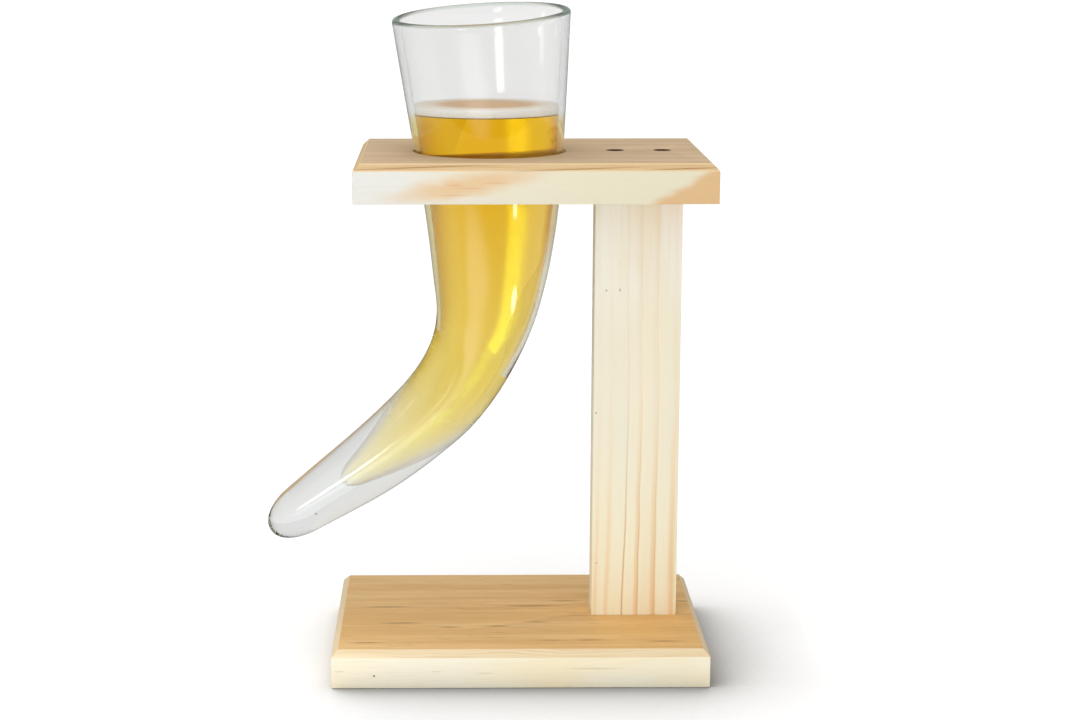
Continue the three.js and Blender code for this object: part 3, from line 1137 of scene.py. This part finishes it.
def make_floor():
    """A white floor with a soft shade where the stand touches it."""
    put_down_everything()
    bpy.ops.mesh.primitive_plane_add(size=FLOOR_SIZE, location=(0, 0, -0.0001))
    floor = bpy.context.object
    floor.name = "studio_floor"
    material, tree = bare_material("floor_white")
    path = put(tree, "ShaderNodeLightPath").outputs
    lean = join(tree, *CONTACT_LEAN)
    contact = put(tree, "ShaderNodeAmbientOcclusion", {"Distance": CONTACT_REACH, "Normal": lean})
    shade = calc(tree, "POWER", contact.outputs["AO"], CONTACT_DEPTH)
    straight = calc(tree, "LESS_THAN", path["Diffuse Depth"], 0.5)
    mirrored = times(tree, calc(tree, "GREATER_THAN", path["Glossy Depth"], 0.5), straight)
    through = times(tree, calc(tree, "GREATER_THAN", path["Transmission Depth"], 0.5), straight)

    # Seen through the glass it is darker to the right. Mirrored inside the glass it is dark near the front.
    spot = put(tree, "ShaderNodeTexCoord").outputs["Object"]
    from_glass = offset_from(tree, spot, GLASS_MIDDLE)
    heading = put(tree, "ShaderNodeVectorMath", {0: from_glass}, operation="NORMALIZE").outputs[0]
    behind = fade(tree, split(tree, heading)[0], *TO_THE_RIGHT, FLOOR_THROUGH_GLASS, FLOOR_THROUGH_RIGHT)
    in_front = fade(tree, split(tree, spot)[1], -0.1, -0.45)
    near_front = times(tree, in_front, fade(tree, length_of(tree, spot), 1.4, 0.9))
    inside = weigh(tree, near_front, FLOOR_INSIDE_BACK, FLOOR_INSIDE_FRONT)
    behind = weigh(tree, mirrored, behind, inside)
    white = weigh(tree, mirrored, FLOOR_WHITE, FLOOR_MIRRORED)
    shaded = times(tree, weigh(tree, through, white, behind), shade)
    colour = put(tree, "ShaderNodeCombineColor", {0: shaded, 1: shaded, 2: shaded}).outputs[0]
    matt = put(tree, "ShaderNodeBsdfDiffuse", {"Color": colour})
    glow = times(tree, path["Is Camera Ray"], FLOOR_LIFT, shade)
    lift = put(tree, "ShaderNodeEmission", {"Strength": glow})
    both = put(tree, "ShaderNodeAddShader", {0: matt.outputs[0], 1: lift.outputs[0]})
    put(tree, "ShaderNodeOutputMaterial", {"Surface": both.outputs[0]})
    floor.data.materials.append(material)


def make_card(name, place, aim, size, strength, soft, reflections, colour=WHITE, roll=0.0, tilt=0.0):
    """A one-sided card that fades to its edges and shows only in some of the glass's reflections."""
    put_down_everything()
    facing = (Vector(aim) - Vector(place)).to_track_quat("Z", "Y")
    turn = (facing @ Quaternion((0, 0, 1), roll) @ Quaternion((1, 0, 0), tilt)).to_euler()
    bpy.ops.mesh.primitive_plane_add(size=1, location=place, rotation=turn)
    card = bpy.context.object
    card.name = name
    card.scale = (*size, 1)
    material, tree = bare_material(name)
    spot = put(tree, "ShaderNodeTexCoord").outputs["Object"]
    cover = fade(tree, length_of(tree, stretch(tree, spot, soft)), 1.0, 0.3)
    crossings = put(tree, "ShaderNodeLightPath").outputs["Transmission Depth"]
    shown = []
    for reflection in reflections:
        fewest, most = CROSSINGS[reflection]
        enough = calc(tree, "GREATER_THAN", crossings, fewest)
        shown.append(times(tree, enough, calc(tree, "LESS_THAN", crossings, most)))
    back = put(tree, "ShaderNodeNewGeometry").outputs["Backfacing"]
    cover = times(tree, cover, strongest(tree, shown), calc(tree, "SUBTRACT", 1.0, back))
    glow = put(tree, "ShaderNodeEmission", {"Color": colour, "Strength": strength})
    clear = put(tree, "ShaderNodeBsdfTransparent")
    surface = put(tree, "ShaderNodeMixShader", {0: cover, 1: clear.outputs[0], 2: glow.outputs[0]})
    put(tree, "ShaderNodeOutputMaterial", {"Surface": surface.outputs[0]})
    card.data.materials.append(material)
    card.visible_camera = False
    card.visible_diffuse = False
    card.visible_shadow = False


def make_strip(name, place, size, strength, reflections, colour=WHITE):
    """A card that stands facing the glass."""
    aim = (GLASS_MIDDLE.x, GLASS_MIDDLE.y, place[2])
    make_card(name, place, aim, size, strength, SOFT_SIDES, reflections, colour)


def make_pool(name, x, y, size, strength):
    """A card that lies on the floor and shows on the glass's outside."""
    make_card(name, (x, y, POOL_HEIGHT), (x, y, 1), size, strength, SOFT_ROUND, ["outside"])


def make_sun(name, aim_from, strength, spread):
    put_down_everything()
    turn = Vector(aim_from).to_track_quat("Z", "Y").to_euler()
    bpy.ops.object.light_add(type="SUN", location=Vector(aim_from), rotation=turn)
    sun = bpy.context.object
    sun.name = name
    sun.data.energy = strength
    sun.data.angle = math.radians(spread)
    sun.visible_glossy = False
    sun.visible_transmission = False


def make_world():
    """Studio light, strongest from the front. The camera sees it white, and the glass shows it dimmer."""
    world = bpy.data.worlds.new("studio")
    bpy.context.scene.world = world
    world.use_nodes = True
    tree = world.node_tree
    tree.nodes.clear()
    path = put(tree, "ShaderNodeLightPath").outputs
    x, y, _ = split(tree, put(tree, "ShaderNodeTexCoord").outputs["Generated"])
    front = calc(tree, "MAXIMUM", times(tree, y, -1.0), 0.0)
    fill = calc(tree, "ADD", times(tree, front, front, STUDIO_FRONT), STUDIO_FILL)
    through = fade(tree, x, *TO_THE_RIGHT, STUDIO_THROUGH_GLASS, STUDIO_THROUGH_RIGHT)
    inside = calc(tree, "GREATER_THAN", path["Transmission Depth"], 0.5)
    mirrored = weigh(tree, inside, STUDIO_MIRRORED, STUDIO_INSIDE)
    bounced = calc(tree, "GREATER_THAN", path["Glossy Depth"], 0.5)
    shown = weigh(tree, bounced, through, mirrored)

    # Pieces that are seen through the glass, such as the foam, are lit more
    seen = calc(tree, "MAXIMUM", path["Is Transmission Ray"], path["Is Glossy Ray"])
    shown = weigh(tree, seen, STUDIO_BEHIND_GLASS, shown)
    straight = calc(tree, "LESS_THAN", path["Diffuse Depth"], 0.5)
    in_glass = times(tree, calc(tree, "MAXIMUM", bounced, inside), straight)
    strength = weigh(tree, in_glass, fill, shown)
    strength = weigh(tree, path["Is Camera Ray"], strength, 1.0)
    light = put(tree, "ShaderNodeBackground", {"Color": WHITE, "Strength": strength})
    put(tree, "ShaderNodeOutputWorld", {"Surface": light.outputs[0]})


def make_camera():
    put_down_everything()
    turn = (math.pi / 2 - CAMERA_DIP, 0, CAMERA_TURN)
    bpy.ops.object.camera_add(location=CAMERA_PLACE, rotation=turn)
    camera = bpy.context.object
    camera.data.sensor_width = 36
    camera.data.lens = CAMERA_LENS
    camera.data.shift_x = CAMERA_SHIFT
    camera.data.clip_end = 200
    bpy.context.scene.camera = camera


make_floor()
make_strip("strip_low", (-0.43, -0.9, 0.195), (0.3, 0.19), 6.0, ["outside", "walls"])
make_strip("strip_high", (-0.43, -0.9, 0.474), (0.43, 0.37), 7.0, ["drink"], AMBER)
make_strip("strip_left", (-0.99, 0.15, 0.5), (0.22, 0.5), 4.0, ["walls"])
make_card(
    "wand_at_tail", (-0.143, -0.1065, 0.0785), (-0.083, -0.003, 0.09), (0.085, 0.055), 13.0, (1.8, 0, 0),
    ["outside"], roll=math.radians(-23), tilt=math.radians(75),
)
make_pool("pool_near", -0.17, -0.27, (0.4, 0.26), 2.5)
make_pool("pool_far", -0.18, -0.62, (0.6, 0.34), 2.0)
make_pool("pool_spot", 0.292, -0.35, (0.1, 0.08), 12.0)
make_pool("pool_right", 0.2, -0.14, (0.07, 0.085), 14.0)
make_sun("key_light", (-0.4, -0.15, 0.9), 1.6, 90)
make_world()
make_camera()

cycles = bpy.context.scene.cycles
cycles.max_bounces = 64
cycles.glossy_bounces = 48
cycles.transmission_bounces = 64

view = bpy.context.scene.view_settings
view.view_transform = "Standard"
